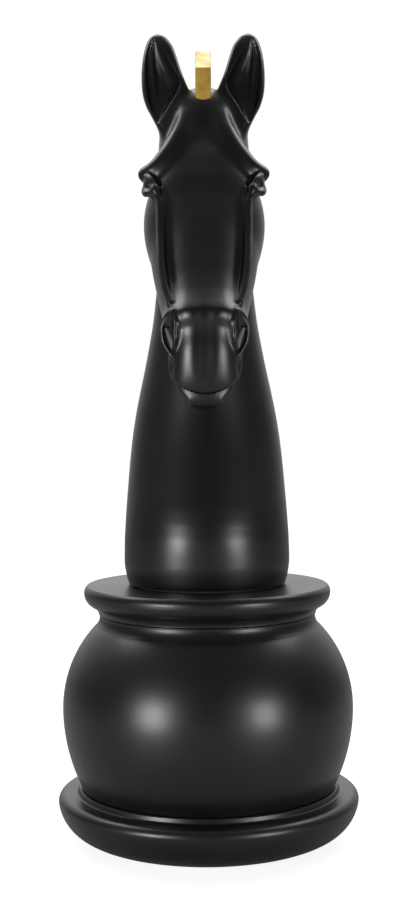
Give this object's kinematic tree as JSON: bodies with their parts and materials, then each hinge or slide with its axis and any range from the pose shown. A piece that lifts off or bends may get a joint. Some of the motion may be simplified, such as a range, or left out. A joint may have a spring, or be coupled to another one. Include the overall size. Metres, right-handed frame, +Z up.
{
  "type": "giant chess piece",
  "caption": "Large lawn chess knight: a horse's head and neck with a gold crest, lifting off a weighted round pedestal.",
  "frame": {"origin": "on the ground, at the middle of the pedestal", "axes": "+Z up; the horse looks along -Y; +X is the horse's left"},
  "size_m": [0.3442, 0.3442, 0.9133],
  "materials": {
    "black_shell": "satin",
    "gold_mane": "satin",
    "base_plate": "matte",
    "inner_plastic": "matte",
    "plug_plastic": "satin",
    "rubber": "matte",
    "steel": "satin",
    "dowel": "matte",
    "sand": "matte"
  },
  "bodies": {
    "pedestal": {"plinth": "black_shell", "base_plate": "base_plate", "base_plate_screws": "steel", "foot_pads": "rubber", "bulb_bolts": "steel", "bulb_bolt_washers": "steel", "fill_bush": "inner_plastic", "bush_nut": "inner_plastic", "bulb": "black_shell", "collar": "black_shell", "socket_cup": "inner_plastic", "seat_gasket": "rubber", "collar_screws": "steel", "socket_screws": "steel", "sand_ballast": "sand"},
    "seal_ring": {"plug_seal": "rubber"},
    "plug": {"fill_plug": "plug_plastic"},
    "horse": {"foot_plate": "inner_plastic", "key_dowels": "dowel", "foot_plate_screws": "steel", "mane": "gold_mane", "mane_dowels": "dowel", "left_ear": "black_shell", "right_ear": "black_shell", "left_shell": "black_shell", "right_shell": "black_shell"}
  },
  "joints": [
    {"name": "horse_lift", "type": "slide", "parent": "pedestal", "child": "horse", "axis": [0, 0, 1], "range_m": [0, 0.07]},
    {"name": "plug_travel", "type": "slide", "parent": "pedestal", "child": "seal_ring", "axis": [0, 0, -1], "range_m": [0, 0.01]},
    {"name": "plug_turn", "type": "hinge", "parent": "seal_ring", "child": "plug", "pos_m": [0, 0, 0.003], "axis": [0, 0, -1], "range_deg": [0, 1440]}
  ],
  "couplings": [
    {"joint": "plug_travel", "follows": "plug_turn", "m_per_rad": 0.00039789}
  ]
}
